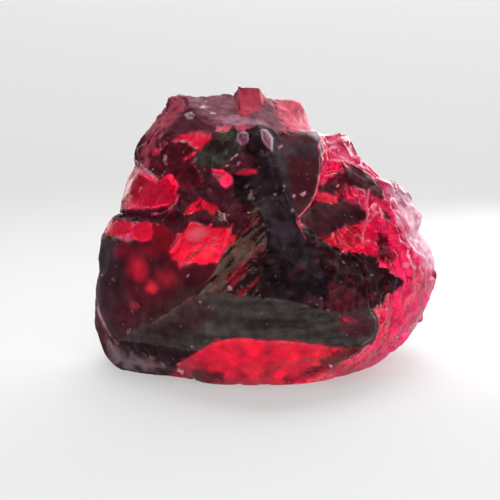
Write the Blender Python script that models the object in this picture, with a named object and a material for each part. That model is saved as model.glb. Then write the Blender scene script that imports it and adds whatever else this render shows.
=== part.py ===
"""Rough garnet: one broken crystal, as it comes out of its rock.

The stone is a single solid. Its outline as seen from the front is RIM. Two skins of flat facets are
stretched over that outline. The front skin follows FRONT_LINES and the back skin BACK_LINES, which are the
stone's ridges, grooves and ledges. A subdivision rounds what isn't marked sharp, the frosted zones get
their lumps, and the foot is cut flat, so that the stone rests as it is modelled.

The outline and the front are drawn on a front view, VIEW_SIZE steps square, that an eye VIEW_MM away sees.
A point there is (steps across, steps down, millimetres toward the front). The back is drawn in millimetres,
(across, up, toward the front), from the middle point of that view. The front plane leans back by LEAN_DEG.
World axes: +X is the stone's right as seen from the front, -Y its front, +Z up.
"""
import math

import bmesh
import bpy
from mathutils import Matrix, Vector, noise
from mathutils.geometry import delaunay_2d_cdt

# Driving dimensions.
WIDTH_MM = 18.1           # widest extent of the stone, left to right
LEAN_DEG = 12.0           # how far the front plane leans back
FOOT_DEPTH_MM = 5.95      # the foot is cut flat this far below the middle point
ROUNDING_LEVELS = 1       # subdivision steps that round the unmarked edges

# The front view on which the outline and the front are drawn.
VIEW_SIZE = 500
VIEW_MM = 61.8            # from the eye to the middle point
STEPS_PER_MM = 19.11      # at the depth of the middle point

# How sharp an edge stays through the rounding: 0 is round, 1 is a knife edge.
RIM_SHARPNESS = 0.85
SHARP = 1.0               # marks a corner of the outline that stays a point

# The garnet's own look, for the plain material.
GARNET_RED = (0.36, 0.012, 0.03, 1.0)
GARNET_ROUGHNESS = 0.12
GARNET_IOR = 1.76

MM = 0.001
TINY_MM = 0.0001          # points of one skin nearer than this are one point

# The two corners of the outline where the back's base edges start.
HEEL_CORNER = (184, 378.5, 1.9)
KEEL_CORNER = (350, 377.5, 0.9)


def front_view_mm(point):
    """Millimetres across, up and toward the front, for a point of the front view."""
    across, down, toward = point
    mm_per_step = (1.0 - toward / VIEW_MM) / STEPS_PER_MM
    middle = VIEW_SIZE / 2
    return ((across - middle) * mm_per_step, (middle - down) * mm_per_step, toward)


# The outline, clockwise from the upper left corner. A fourth value marks a corner that stays a point.
RIM = [
    ("cap", [(168, 98, 0, SHARP), (175, 95, -0.2), (183, 95, -0.5), (191, 96.5, -0.8, SHARP)]),
    ("crown", [(205, 95.5, -1.2), (220, 94, -1.4), (234, 96.5, -1.3, SHARP)]),
    ("chip", [(238.5, 87, 0.1, SHARP), (250, 87.5, 0.1), (260, 89, 0, SHARP), (266, 97, -0.6, SHARP)]),
    ("hump", [
        (276, 98.5, -1.2), (288, 100, -1.4), (299, 103, -1.5, SHARP), (305, 112, -1.5), (309, 123, -1.4),
        (316, 131.5, -1.2, SHARP)]),
    ("knobs", [
        (325, 134.5, -1.2), (334, 135, -1.3), (345, 137.5, -1.3), (352, 145, -1.3), (357, 155, -1.3),
        (362, 161.5, -1.2, SHARP), (372, 168, -1.2), (381, 175.5, -1.2), (389, 183, -1.2),
        (396, 189, -1.2), (405, 196, -1.2), (415, 205.5, -1.2), (422, 213, -1.2), (423, 221, -1.2),
        (419, 229, -1, SHARP)]),
    ("nose", [
        (425, 237, -1), (430, 247, -1), (435, 257.5, -1), (437.5, 268, -1), (437, 280, -1),
        (434, 291, -1), (430, 301, -1), (425, 312, -0.9), (419, 323, -0.9), (412, 334, -0.8)]),
    ("keel", [
        (403, 345, -0.7), (393, 353.5, -0.5), (380, 362.5, -0.2), (365, 371, 0.3), KEEL_CORNER,
        (335, 382.5, 1.6), (320, 386.5, 2.2)]),
    ("foot", [
        (300, 388, 2.7), (280, 388, 2.9), (260, 388, 3), (240, 388, 3), (217, 388, 2.8),
        (203, 386, 2.4, SHARP)]),
    ("heel", [
        (194, 381, 2.2), HEEL_CORNER, (170, 377, 1.6), (155, 376.5, 1.3), (140, 375.5, 1),
        (128, 373, 0.7), (118, 369, 0.5), (110, 362.5, 0.3), (104, 354, 0.2)]),
    ("flank", [
        (100.5, 344, 0.1), (97, 334, 0), (95, 323, 0), (94.5, 310, 0), (94.5, 296, 0), (95.5, 283, 0),
        (98.5, 271, 0), (99, 262, 0), (98.5, 253, 0), (100.5, 243, 0), (103.5, 233, 0),
        (106.5, 225.5, 0.1), (111, 219.5, 0.2, SHARP)]),
    ("notch", [(118, 216.5, 0.3), (121.5, 214, 0, SHARP)]),
    ("bulge", [
        (120.5, 205, -0.1), (122, 195, -0.2), (125, 185, -0.3), (128, 176.5, -0.3), (132.5, 170, -0.2),
        (135, 165.5, -0.1, SHARP)]),
    ("brow", [
        (133, 156, 0), (135, 148, 0.1), (139, 140, 0.1), (144.5, 132.5, 0.1), (150.5, 126.5, 0.1),
        (155, 120, 0.1), (161, 112.5, 0.05), (167, 105, 0)]),
]

# The front's ridges, grooves and ledges: name, sharpness, points.
FRONT_LINES = [
    ("top_edge", 0.7, [
        (191, 96.5, -0.8), (193, 103, 0.9), (199, 110, 1.4), (209, 123, 2.3), (225, 125, 2.6),
        (240, 125.5, 2.8), (252, 124.5, 2.8), (262, 128, 2.7), (271, 133, 2.4), (279, 138, 2.1)]),
    ("block_top", 0.8, [
        (279, 138, 2.1), (283, 132.5, 2), (299, 133, 1.8), (311, 134, 1.5), (316, 131.5, -1.2)]),
    ("block_corner", 0.6, [(311, 134, 1.5), (319, 142, 1.5)]),
    ("top_grain", 0, [(205, 106, 0.5), (222, 110, 0.9)]),
    ("top_grain2", 0, [(275, 115, 0.5), (292, 116, -0.5)]),
    ("chip_side", 1, [(234, 96.5, -1.3), (237, 103, -0.1), (241, 115, 1.2)]),
    ("chip_front", 1, [(238.5, 87, 0.1), (241, 115, 1.2)]),
    ("chip_foot", 0.8, [(241, 115, 1.2), (258, 109, 0.8), (266, 97, -0.6)]),
    ("cap_edge", 0.6, [
        (193, 103, 0.9), (182, 117, 1.6), (169, 131, 2.1), (157, 145, 1.9), (147, 158, 1.3),
        (139, 165.5, 0.6), (135, 165.5, -0.1)]),
    ("cap_face", 0, [(178, 104, 0.6), (160, 125, 1.2), (146, 145, 0.9)]),
    ("arch_top", 0.6, [
        (166, 146, 2.2), (174, 139, 2.4), (187, 133.5, 2.5), (201, 131.5, 2.6), (213, 134, 2.9)]),
    ("arch_foot", 0.6, [
        (166, 146, 2.2), (177, 142, 2.8), (189, 146.5, 3), (195, 151, 3.1), (204, 148, 3.1),
        (213, 134, 2.9)]),
    ("cap_mid", 0, [(172, 158, 2.6), (185, 163, 2.9)]),
    ("cap_lip", 0.9, [
        (135, 165.5, -0.1), (142, 168.5, 1.2), (150, 174.5, 1.9), (158, 181, 2.5), (166, 175, 2.6),
        (173, 172.5, 2.8), (180, 184, 3.1), (193, 190, 3.3), (205, 188, 3.4), (214, 184, 3.6)]),
    ("under_lip", 0.5, [
        (140, 173, 0.6), (149, 180, 1.3), (158, 186.5, 1.8), (167, 181.5, 1.9), (173, 180, 2.1),
        (177, 189, 2.4)]),
    ("bulge_face", 0, [(134, 190, 1), (150, 196, 1.9), (165, 194, 2.3)]),
    ("bulge_foot", 0.7, [
        (120.5, 205, -0.1), (135, 207.5, 1.3), (150, 207, 2), (166, 204.5, 2.6), (177, 199, 2.8),
        (177, 189, 2.4)]),
    ("groove", 0.6, [
        (121.5, 214, 0), (135, 214.5, 0.8), (150, 216, 1.5), (165, 217, 2.1), (178, 214, 2.7)]),
    ("patch_two", 0.8, [
        (178, 214, 2.7), (184, 216.5, 3), (191, 206, 3.2), (200, 198, 3.4), (210, 203, 3.8),
        (220, 209, 4.1), (214, 216, 4.1), (200, 213, 3.7), (184, 216.5, 3)]),
    ("block_edge", 0.7, [
        (111, 219.5, 0.2), (120, 218.5, 0.9), (132, 221, 1.6), (147, 223, 2.3), (160, 224, 2.8),
        (172, 231, 3.2), (183, 229, 3.5), (191, 223.5, 3.9), (208, 226.5, 4.3), (228, 227, 4.7)]),
    ("patch_one", 0.8, [
        (228, 227, 4.7), (225, 245, 4.9), (218, 261, 5), (205, 266, 4.8), (191, 262, 4.5),
        (180, 268, 4.2), (170, 258, 3.7), (177, 245, 3.7), (183, 229, 3.5)]),
    ("patch_fold", 0.7, [(191, 262, 4.5), (196, 250, 4.9), (206, 246, 5.1), (225, 245, 4.9)]),
    ("patch_high", 0, [(197, 236, 4.3)]),
    ("flank_face", 0, [(112, 240, 1.2), (130, 243, 2.1), (152, 243, 2.9)]),
    ("flank_low", 0, [(112, 270, 1.4), (130, 285, 2.2), (150, 275, 3), (170, 285, 3.6), (190, 280, 4.4)]),
    ("rim_band", 0.7, [
        (95.5, 283, 0), (98.5, 303, 0.7), (104, 320, 0.9), (110, 332, 1.1), (118, 342, 1.35),
        (127, 350, 1.6), (138, 356, 1.9), (151, 360.5, 2.3), (165, 363, 2.7), (174, 366, 3)]),
    ("fan_edge", 0.7, [
        (118, 342, 1.35), (133, 332.5, 2.1), (150, 322.5, 2.9), (169, 313, 3.8), (190, 299, 4.8),
        (205, 286, 5), (217, 270, 5), (222, 258, 5)]),
    ("fan_top", 0.6, [(222, 258, 5), (236, 243, 5.1), (250, 225, 5), (254, 205, 4.8)]),
    ("fan_foot", 0.7, [
        (190, 299, 4.8), (206, 293, 5.3), (222, 292, 5.6), (238, 296, 6), (255, 299, 6.3),
        (270, 298, 6.5), (287, 300, 6.5), (302, 305, 6.3), (318, 311, 6), (335, 314, 5.5),
        (353, 313, 4.9), (371, 310, 4)]),
    ("fan_hollow", 0, [(222, 281, 4.9), (238, 268, 4.9), (252, 252, 5.2)]),
    ("fan_side", 0.5, [
        (264, 216, 5.3), (268, 240, 5.9), (262, 262, 6), (255, 283, 6.1), (255, 299, 6.3)]),
    ("hub", 0.8, [
        (254, 205, 4.8), (264, 216, 5.3), (271, 232, 5.8), (277, 247, 6.1), (284, 254, 6.2),
        (300, 263, 6.1), (315, 273, 5.8), (328, 281, 5.5)]),
    ("black", 0, [(290, 280, 5.9), (312, 292, 5.9), (335, 296, 5.3), (355, 292, 4.6)]),
    ("spine", 0.7, [
        (262, 128, 2.7), (267, 145, 3.3), (273, 157, 3.7), (279, 168, 4), (281, 180, 4.3),
        (285, 193, 4.6), (291, 207, 5), (295.5, 219, 5.3), (300, 230, 5.3), (306, 241, 5.2)]),
    ("valley", 0, [(272, 185, 4), (277, 205, 4.6), (283, 228, 5.1)]),
    ("seam", 1, [
        (325, 134.5, -1.2), (322, 138, 0.6), (319, 142, 1.5), (319, 153, 2), (318.5, 166, 2.5),
        (317.5, 178, 3), (316, 188, 3.4), (312.5, 198.5, 3.9), (306, 207, 4.5), (300, 213, 5),
        (295.5, 219, 5.3)]),
    ("seam_foot", 0.8, [
        (325, 134.5, -1.2), (328, 146, 0.3), (330, 158, 1), (326, 168, 1.4), (322, 178, 1.8),
        (320, 188, 2.2), (318, 199, 2.8), (311, 210, 3.7), (303, 222, 4.8), (306, 241, 5.2)]),
    ("block_face", 0, [(299, 150, 2.5), (300, 172, 3.3), (299, 192, 4.1)]),
    ("mid_rough", 0.5, [
        (213, 134, 2.9), (222, 147, 3.1), (233, 152, 3.3), (246, 150, 3.4), (262, 150, 3.3)]),
    ("mid_rough2", 0.5, [
        (195, 151, 3.1), (203, 164, 3.1), (214, 168, 3.2), (225, 165, 3.6), (240, 160, 3.6)]),
    ("patch_three", 0.8, [
        (214, 168, 3.2), (223, 171, 3.5), (234, 181, 3.9), (227, 188, 4.1), (219, 182, 3.6),
        (214, 168, 3.2)]),
    ("mid_low", 0, [(243, 178, 3.7), (256, 176, 3.8), (240, 196, 4.3), (228, 203, 4.3), (238, 215, 4.8)]),
    ("window", 0.5, [
        (330, 158, 1), (343, 166, 1.3), (351, 180, 1.5), (348, 190, 1.8), (333, 192, 2.2),
        (320, 188, 2.2)]),
    ("window_low", 0.5, [(318, 199, 2.8), (335, 203, 2.8), (352, 202, 2.2), (367, 200, 1.6)]),
    ("window_face", 0, [(325, 218, 4), (345, 221, 3.3)]),
    ("window_foot", 0.4, [
        (303, 222, 4.8), (318, 232, 4.6), (336, 232, 3.8), (352, 230, 3.1), (364, 232, 2.7)]),
    ("rib", 0.8, [
        (369, 190, 1.2), (367, 200, 1.6), (369, 213, 2.1), (366, 224, 2.5), (364, 232, 2.7),
        (361, 248, 3.2), (362, 256, 3.4)]),
    ("crust_edge", 0.5, [
        (330, 158, 1), (341, 156, 0.7), (353, 166, 0.6), (366, 178, 0.7), (369, 190, 1.2),
        (379, 188, 0.8), (388, 197, 0.9), (390, 207, 1.2), (379, 209, 1.8), (369, 213, 2.1)]),
    ("crust", 0, [(340, 145, -0.1), (352, 158, 0), (372, 177, 0.1), (392, 195, 0.3), (406, 209, 0.2)]),
    ("shelf", 0.6, [(390, 207, 1.2), (396, 214, 1.3), (406, 222, 1.1), (414, 226, 0.6), (419, 229, -1)]),
    ("cheek", 0.5, [(378, 222, 2.3), (384, 238, 2.5), (389, 252, 2.6), (386, 268, 2.8)]),
    ("cheek2", 0.4, [(406, 222, 1.1), (404, 240, 1.9), (408, 256, 2), (413, 272, 1.9)]),
    ("tip", 0.9, [
        (306, 241, 5.2), (330, 245, 4.7), (349, 251, 4), (362, 256, 3.4), (375, 262, 3.2),
        (386, 268, 2.8), (401, 281, 2.2), (392, 290, 2.9), (385, 297, 3.3), (378, 303, 3.7),
        (371, 310, 4)]),
    ("hackle", 0.5, [(349, 251, 4), (353, 268, 4.4), (360, 282, 4.4), (372, 290, 3.9), (385, 297, 3.3)]),
    ("hackle2", 0.5, [(362, 256, 3.4), (372, 274, 3.7), (386, 281, 3), (401, 281, 2.2)]),
    ("nose_face", 0, [(424, 258, 0.9), (426, 280, 0.9), (419, 303, 1), (406, 323, 1.1)]),
    ("nose_low", 0.5, [
        (401, 281, 2.2), (405, 296, 2.2), (397, 311, 2.4), (387, 322, 2.8), (376, 330, 3.7)]),
    ("lobe", 0.8, [(371, 310, 4), (376, 319, 3.9), (376, 330, 3.7), (372, 339, 3.8), (362, 346, 3.9)]),
    ("lip", 0.9, [
        (118, 342, 1.35), (132, 342.5, 2), (147, 344.5, 2.7), (165, 347, 3.4), (184, 351, 3.9),
        (200, 350, 4.3), (208, 343.5, 4.7), (220, 340, 5), (235, 337, 5.3), (250, 337, 5.5),
        (265, 340, 5.5), (281, 339, 5.5), (297, 340.5, 5.4), (314, 343, 5.2), (332, 345.5, 4.8),
        (348, 347.5, 4.4), (362, 346, 3.9)]),
    ("scoop", 0, [
        (150, 333, 2.7), (175, 330, 3.6), (205, 322, 4.5), (240, 318, 5.2), (280, 320, 5.5),
        (320, 328, 5.1), (350, 333, 4.3)]),
    ("under_edge", 0.6, [(174, 366, 3), (185, 359, 3.7), (200, 350, 4.3)]),
    ("toe", 0, [(150, 352, 2.6), (170, 355, 3.2)]),
    ("sole", 0, [(205, 368, 3.6), (230, 360, 4.4), (262, 362, 4.6), (292, 362, 4.4)]),
    ("crack", 0.7, [
        (348, 347.5, 4.4), (338, 357, 3.8), (326, 368, 3.1), (306, 378, 2.9), (300, 388, 2.7)]),
    ("band", 0, [(350, 364, 2.2), (372, 352, 1.9), (390, 338, 1.4)]),
]

# The back's lines, in millimetres, where flatter breaks meet in a blunt keel.
BACK_LINES = [
    ("back_edge", 0.7, [
        (-3.6, 7.7, -2.2), (-2.1, 7.9, -3), (-0.8, 8, -3.3), (0.6, 7.9, -3.5), (2.3, 7.6, -3.6),
        (3, 6.7, -3.8), (4, 5.6, -3.9), (5.3, 5, -3.9), (6.7, 3.7, -3.9), (8.1, 2.4, -3.7),
        (8.9, 1.2, -3.6), (9.4, -0.1, -3.5), (9.6, -1.6, -3.3), (9, -3.3, -3.2), (8, -4.6, -3.1),
        (6.6, -5.4, -3), (5.3, -5.7, -2.6), (3.6, -5.3, -4), (1.2, -5.2, -4.7), (-1.4, -5.3, -3.9),
        (-3.4, -5.7, -2.3), (-5.4, -5.5, -2.1), (-6.9, -4.9, -2.2), (-7.7, -3.4, -2.6), (-7.8, -1.6, -2.9),
        (-7.4, 0.1, -3), (-6.6, 1.2, -2.9), (-6.1, 2.4, -2.9), (-5.9, 3.8, -2.8), (-5.5, 5.2, -2.7),
        (-4.7, 6.7, -2.4), (-3.6, 7.7, -2.2)]),
    ("base_left", 0.8, [(-3.4, -5.7, -2.3), front_view_mm(HEEL_CORNER)]),
    ("base_right", 0.8, [(5.3, -5.7, -2.6), front_view_mm(KEEL_CORNER)]),
    ("keel_ridge", 0.8, [
        (-0.8, 8, -3.3), (-0.5, 5.6, -4.3), (1.9, 2.8, -4.8), (3, -0.3, -5), (2.3, -3.2, -5),
        (1.2, -5.2, -4.7)]),
    ("step_lip", 0.9, [
        (-4.7, 5.2, -3.1), (-3.7, 4.6, -3.9), (-2.4, 4.7, -4.3), (-1.3, 5.3, -4.4), (-0.5, 5.6, -4.3)]),
    ("step_foot", 0.7, [(-4.6, 4.6, -3), (-3.6, 4, -3.6), (-2.3, 4.1, -4), (-1.1, 4.6, -4.1)]),
    ("shoulder_rib", 0.7, [(-2.1, 7.9, -3), (-2.6, 6.3, -3.8), (-2.4, 4.7, -4.3)]),
    ("crown_rib", 0.7, [(2.3, 7.6, -3.6), (1.6, 5.6, -4.6), (1.9, 2.8, -4.8)]),
    ("shoulder_step", 0.8, [(3, 6.7, -3.8), (3.6, 4.9, -4.4), (5, 2.8, -4.5)]),
    ("left_mid", 0.6, [
        (-1.1, 4.6, -4.1), (-2.3, 3.2, -4.4), (-3.3, 2.3, -4.2), (-3.7, -0.5, -4.3), (-3.5, -3.3, -3.9),
        (-3.4, -5.7, -2.3)]),
    ("left_rib", 0.8, [
        (-2.3, 3.2, -4.4), (-1.2, 1.4, -4.9), (-0.2, -0.4, -5.2), (-0.4, -2.6, -4.9), (-1.4, -5.3, -3.9)]),
    ("rib_hollow", 0, [(0.9, 1.2, -4.6), (1.3, -1.6, -4.7)]),
    ("rib_flute", 0, [(-2.1, 0.3, -4.4), (-2.1, -2.2, -4.3)]),
    ("left_low", 0.6, [(-7.4, 0.1, -3), (-5.8, 0.5, -3.7), (-3.7, -0.5, -4.3)]),
    ("left_high", 0.6, [(-6.1, 2.4, -2.9), (-4.7, 2.6, -3.6), (-3.3, 2.3, -4.2)]),
    ("heel_rib", 0.7, [(-7.7, -3.4, -2.6), (-5.6, -3, -3.5), (-3.5, -3.3, -3.9)]),
    ("heel_pit", 0, [(-5.5, -1.4, -3.4)]),
    ("right_mid", 0.7, [(1.9, 2.8, -4.8), (5, 2.8, -4.5), (6.7, 3.7, -3.9)]),
    ("ledge_lip", 0.9, [(3, -0.3, -5), (4.6, 0.3, -5), (6.1, 0.1, -4.6), (7.6, 0.5, -4.2)]),
    ("ledge_foot", 0.7, [(3.2, 0.6, -4.6), (4.7, 1.1, -4.5), (6.3, 0.9, -4.2), (7.7, 1.2, -3.9)]),
    ("right_low", 0.6, [(3, -0.3, -5), (6.2, -1, -4.4), (9.6, -1.6, -3.3)]),
    ("right_scoop", 0, [(4.1, -2, -4.3), (6.2, -2.3, -4)]),
    ("right_foot", 0.7, [(2.3, -3.2, -5), (5.3, -3.6, -4.3), (8, -4.6, -3.1)]),
]

# Frosted or hackly zones, in millimetres: centre (across, up), reach, height of the lumps and their size.
ROUGH_ZONES = [
    ("shoulder_crust", (5.2, 5.3), 1.7, 0.40, 0.8),
    ("outer_crust", (7.9, 3.2), 1.8, 0.45, 0.8),
    ("nose_frost", (9.2, -0.6), 1.8, 0.30, 0.9),
    ("lower_nose", (8.3, -3.6), 1.8, 0.25, 0.9),
    ("crown_frost", (-0.9, 7.6), 2.4, 0.20, 0.9),
    ("hump_frost", (2.6, 7.2), 1.2, 0.30, 0.8),
    ("broken_middle", (-1.2, 4.4), 2.2, 0.25, 1.0),
    ("black_point", (5.2, -2.0), 2.0, 0.25, 1.2),
]
LUMP_OFFSET = Vector((3.1, 7.7, 1.9))   # where in the noise the lumps are taken from


class Outline:
    """The rim's vertices, shared by both skins."""

    def __init__(self, mesh):
        drawn = [point for _, stretch in RIM for point in stretch]
        corner_layer = mesh.verts.layers.float.new("crease_vert")
        self.points = [front_view_mm(point[:3]) for point in drawn]
        self.verts = [mesh.verts.new(point) for point in self.points]
        for vert, point in zip(self.verts, drawn):
            vert[corner_layer] = point[3] if len(point) > 3 else 0.0


def lay_skin(mesh, outline, lines, sharpness_layer, faces_back):
    """Stretch one skin of triangles over the outline, with an edge along every ridge line."""
    points = list(outline.points)
    place = {point: index for index, point in enumerate(points)}
    edges = []
    edge_sharpness = []
    for _, sharpness, line in lines:
        for point in line:
            if point not in place:
                place[point] = len(points)
                points.append(point)
        for start, end in zip(line, line[1:]):
            edges.append((place[start], place[end]))
            edge_sharpness.append(sharpness)

    rim_count = len(outline.points)
    flat = [Vector(point[:2]) for point in points]
    keep_inside = 1
    laid = delaunay_2d_cdt(flat, edges, [list(range(rim_count))], keep_inside, TINY_MM)
    laid_points, laid_edges, laid_faces, point_sources, edge_sources, _ = laid

    verts = []
    for position, sources in zip(laid_points, point_sources):
        on_rim = [index for index in sources if index < rim_count]
        if on_rim:
            verts.append(outline.verts[on_rim[0]])
        elif sources:
            verts.append(mesh.verts.new(points[sources[0]]))
        else:
            raise ValueError(f"two lines cross near {position.x:.2f}, {position.y:.2f}")

    for corners in laid_faces:
        loop = [verts[index] for index in corners]
        if faces_back:
            loop.reverse()
        mesh.faces.new(loop)

    for (start, end), sources in zip(laid_edges, edge_sources):
        marks = [edge_sharpness[index] for index in sources if index < len(edges)]
        edge = mesh.edges.get((verts[start], verts[end]))
        if marks and edge:
            edge[sharpness_layer] = max(marks)


def broken_cage():
    """The two skins, sewn together along the outline."""
    mesh = bmesh.new()
    sharpness_layer = mesh.edges.layers.float.new("crease_edge")
    outline = Outline(mesh)
    front_lines = [
        (name, sharpness, [front_view_mm(point) for point in line])
        for name, sharpness, line in FRONT_LINES
    ]
    lay_skin(mesh, outline, front_lines, sharpness_layer, faces_back=False)
    lay_skin(mesh, outline, BACK_LINES, sharpness_layer, faces_back=True)
    for start, end in zip(outline.verts, outline.verts[1:] + outline.verts[:1]):
        mesh.edges.get((start, end))[sharpness_layer] = RIM_SHARPNESS
    return mesh


def rounded(cage):
    """The cage after the subdivision, as a bmesh of its own."""
    cage_mesh = bpy.data.meshes.new("cage")
    cage.to_mesh(cage_mesh)
    cage.free()
    holder = bpy.data.objects.new("cage", cage_mesh)
    bpy.context.scene.collection.objects.link(holder)
    rounding = holder.modifiers.new("rounding", "SUBSURF")
    rounding.levels = ROUNDING_LEVELS
    rounding.render_levels = ROUNDING_LEVELS
    evaluated = holder.evaluated_get(bpy.context.evaluated_depsgraph_get())
    stone = bmesh.new()
    stone.from_mesh(evaluated.to_mesh())
    evaluated.to_mesh_clear()
    bpy.data.objects.remove(holder)
    bpy.data.meshes.remove(cage_mesh)
    return stone


def add_lumps(stone):
    """Raise and sink the surface of the rough zones along its own normal."""
    stone.normal_update()
    moves = []
    for vert in stone.verts:
        move = 0.0
        for _, centre, reach, height, size in ROUGH_ZONES:
            distance = math.dist(vert.co[:2], centre)
            if distance < reach:
                strength = 1.0 - (distance / reach) ** 2
                move += height * strength * noise.noise(vert.co / size + LUMP_OFFSET)
        moves.append(vert.normal * move)
    for vert, move in zip(stone.verts, moves):
        vert.co += move


def lean_back(stone):
    """Turn (across, up, toward the front) into world axes, with the cut of the foot at height zero."""
    lean = math.radians(LEAN_DEG)
    into_world = Matrix((
        (1.0, 0.0, 0.0, 0.0),
        (0.0, math.sin(lean), -math.cos(lean), 0.0),
        (0.0, math.cos(lean), math.sin(lean), FOOT_DEPTH_MM),
        (0.0, 0.0, 0.0, 1.0),
    ))
    stone.transform(into_world)


def cut_foot(stone):
    """Cut away what lies below height zero and close the cut with one flat face."""
    everything = stone.verts[:] + stone.edges[:] + stone.faces[:]
    cut = bmesh.ops.bisect_plane(
        stone, geom=everything, plane_co=(0, 0, 0), plane_no=(0, 0, -1), clear_outer=True)
    cut_edges = [item for item in cut["geom_cut"] if isinstance(item, bmesh.types.BMEdge)]
    bmesh.ops.contextual_create(stone, geom=cut_edges)
    bmesh.ops.recalc_face_normals(stone, faces=stone.faces[:])


def to_size(stone):
    """Scale to the driving width, in metres, and put the middle of the base on the origin."""
    spans = []
    for axis in range(2):
        values = [vert.co[axis] for vert in stone.verts]
        spans.append((min(values), max(values)))
    (left, right), (front, back) = spans
    scale = WIDTH_MM / (right - left)
    middle = Vector(((left + right) / 2, (front + back) / 2, 0.0))
    bmesh.ops.translate(stone, verts=stone.verts[:], vec=-middle)
    bmesh.ops.scale(stone, verts=stone.verts[:], vec=Vector((scale, scale, scale)) * MM)


def garnet_material():
    """Clear red stone: a Principled material with the stone's own refraction."""
    material = bpy.data.materials.new("garnet")
    material.use_nodes = True
    shader = material.node_tree.nodes["Principled BSDF"]
    shader.inputs["Base Color"].default_value = GARNET_RED
    shader.inputs["Roughness"].default_value = GARNET_ROUGHNESS
    shader.inputs["IOR"].default_value = GARNET_IOR
    shader.inputs["Transmission Weight"].default_value = 1.0
    shader.inputs["Metallic"].default_value = 0.0
    return material


def main():
    for old in list(bpy.data.objects):
        bpy.data.objects.remove(old)

    stone = rounded(broken_cage())
    add_lumps(stone)
    lean_back(stone)
    cut_foot(stone)
    to_size(stone)

    mesh = bpy.data.meshes.new("rough_garnet")
    stone.to_mesh(mesh)
    stone.free()
    mesh.materials.append(garnet_material())
    garnet = bpy.data.objects.new("rough_garnet", mesh)
    bpy.context.scene.collection.objects.link(garnet)


main()
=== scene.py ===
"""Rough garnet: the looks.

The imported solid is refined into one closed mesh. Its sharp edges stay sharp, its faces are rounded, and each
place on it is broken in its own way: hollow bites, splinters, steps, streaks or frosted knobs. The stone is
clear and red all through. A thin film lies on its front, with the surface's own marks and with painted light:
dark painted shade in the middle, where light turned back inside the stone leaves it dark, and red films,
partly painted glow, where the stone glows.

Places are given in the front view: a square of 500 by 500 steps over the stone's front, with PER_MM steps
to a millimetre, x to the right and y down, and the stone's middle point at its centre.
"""
import math

import bmesh
import bpy
import numpy as np
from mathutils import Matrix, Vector


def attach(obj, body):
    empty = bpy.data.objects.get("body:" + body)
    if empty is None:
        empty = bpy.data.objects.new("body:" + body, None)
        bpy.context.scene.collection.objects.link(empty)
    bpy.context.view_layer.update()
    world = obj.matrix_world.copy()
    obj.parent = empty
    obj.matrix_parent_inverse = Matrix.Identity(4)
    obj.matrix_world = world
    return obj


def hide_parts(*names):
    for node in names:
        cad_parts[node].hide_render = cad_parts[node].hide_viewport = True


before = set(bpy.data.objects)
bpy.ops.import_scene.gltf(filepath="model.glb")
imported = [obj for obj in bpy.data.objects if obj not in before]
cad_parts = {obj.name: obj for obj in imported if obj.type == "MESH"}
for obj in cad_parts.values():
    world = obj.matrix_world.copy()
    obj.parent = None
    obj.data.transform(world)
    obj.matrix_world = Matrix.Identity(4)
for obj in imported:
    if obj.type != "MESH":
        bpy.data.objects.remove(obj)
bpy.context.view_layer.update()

MM = 0.001
X, Y = 0, 1  # the axes of the front view

# Where the stone's front plane stands, and where it is seen from.
LEAN = math.radians(12.0)  # the front plane leans back
MIDDLE = Vector((-0.909, 0.656, 5.963)) * MM
VIEW_MM = 61.8  # distance of the viewer and the camera
PER_MM = 19.11  # steps of the front view to a millimetre
VIEW_CENTRE = 250
ACROSS = Vector((1, 0, 0))  # the front view's axes in the world
UP = Vector((0, math.sin(LEAN), math.cos(LEAN)))
TOWARD = Vector((0, -math.cos(LEAN), math.sin(LEAN)))  # toward the viewer
LENS_MM = 85
SENSOR_MM = 36

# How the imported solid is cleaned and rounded.
SAME_POINT = 1e-7
FLAT_WITHIN = math.radians(0.5)
PAIRED_FACES_WITHIN = math.radians(18)
PAIRED_CORNERS_WITHIN = math.radians(60)
CREASE_FROM = math.radians(20)  # flatter edges are rounded away
CREASE_FULL = math.radians(50)  # steeper edges stay sharp
REFINE_LEVELS = 2
SHARP_FROM = math.radians(30)  # steeper edges of the finished mesh are shaded sharp

# What is refined once more: finely broken zones, the right side, and what lies this near to film edges, lines
# and flecks.
MOST_FACES_REFINED_AGAIN = 14000
FINELY_BROKEN = ["point", "middle", "fan", "black_break", "core", "window", "broken_red"]
EDGE_REACH = 3
LINE_REACH = 4
FLECK_REACH = 2
RIGHT_SIDE_FROM = 350
RIGHT_SIDE_FACING = -0.4

# The steps that the slopes are broken into. A share of 1 would make their treads flat.
STEP_MM = 0.75
STEP_RISER = (0.30, 0.70)  # where the riser stands within a step
LEFT_STEP_SHARE = 0.60
RIGHT_STEP_SHARE = 0.65
BACK_STEP_SHARE = 0.80
FAR_RIGHT_SMOOTHNESS = 0.5
WINDOW_SMOOTHNESS = 0.9

# Heights of single features over the surface, in millimetres.
FLECK_RISE = 0.035
CRYSTAL_RISE = 0.06
STRAW_STREAK_RISE = 0.09
RED_STREAK_RISE = -0.06
SCOOP_STREAK_RISE = 0.05
PIT_RISE = -0.25

# Soft limits: the value where something is absent, then the value where it is full. Facing is 1 straight
# toward the viewer, 0 at the outline and -1 straight away.
STEPS_FACING = (0.05, 0.35)
RELIEF_FACING = (-0.15, 0.10)
CRUST_FACING = (-0.90, -0.30)
CROWN_FACING = (-0.80, -0.20)
BACK_FACING = (0.10, -0.20)
FILM_FACING = (-0.35, -0.05)
SIDE_FACING = (0.45, 0.0)
BACK_FROST_FACING = (0.0, -0.25)
STEPS_ABOVE_FOOT_MM = (0.3, 1.5)
RELIEF_ABOVE_FOOT_MM = (0.02, 0.9)

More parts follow.
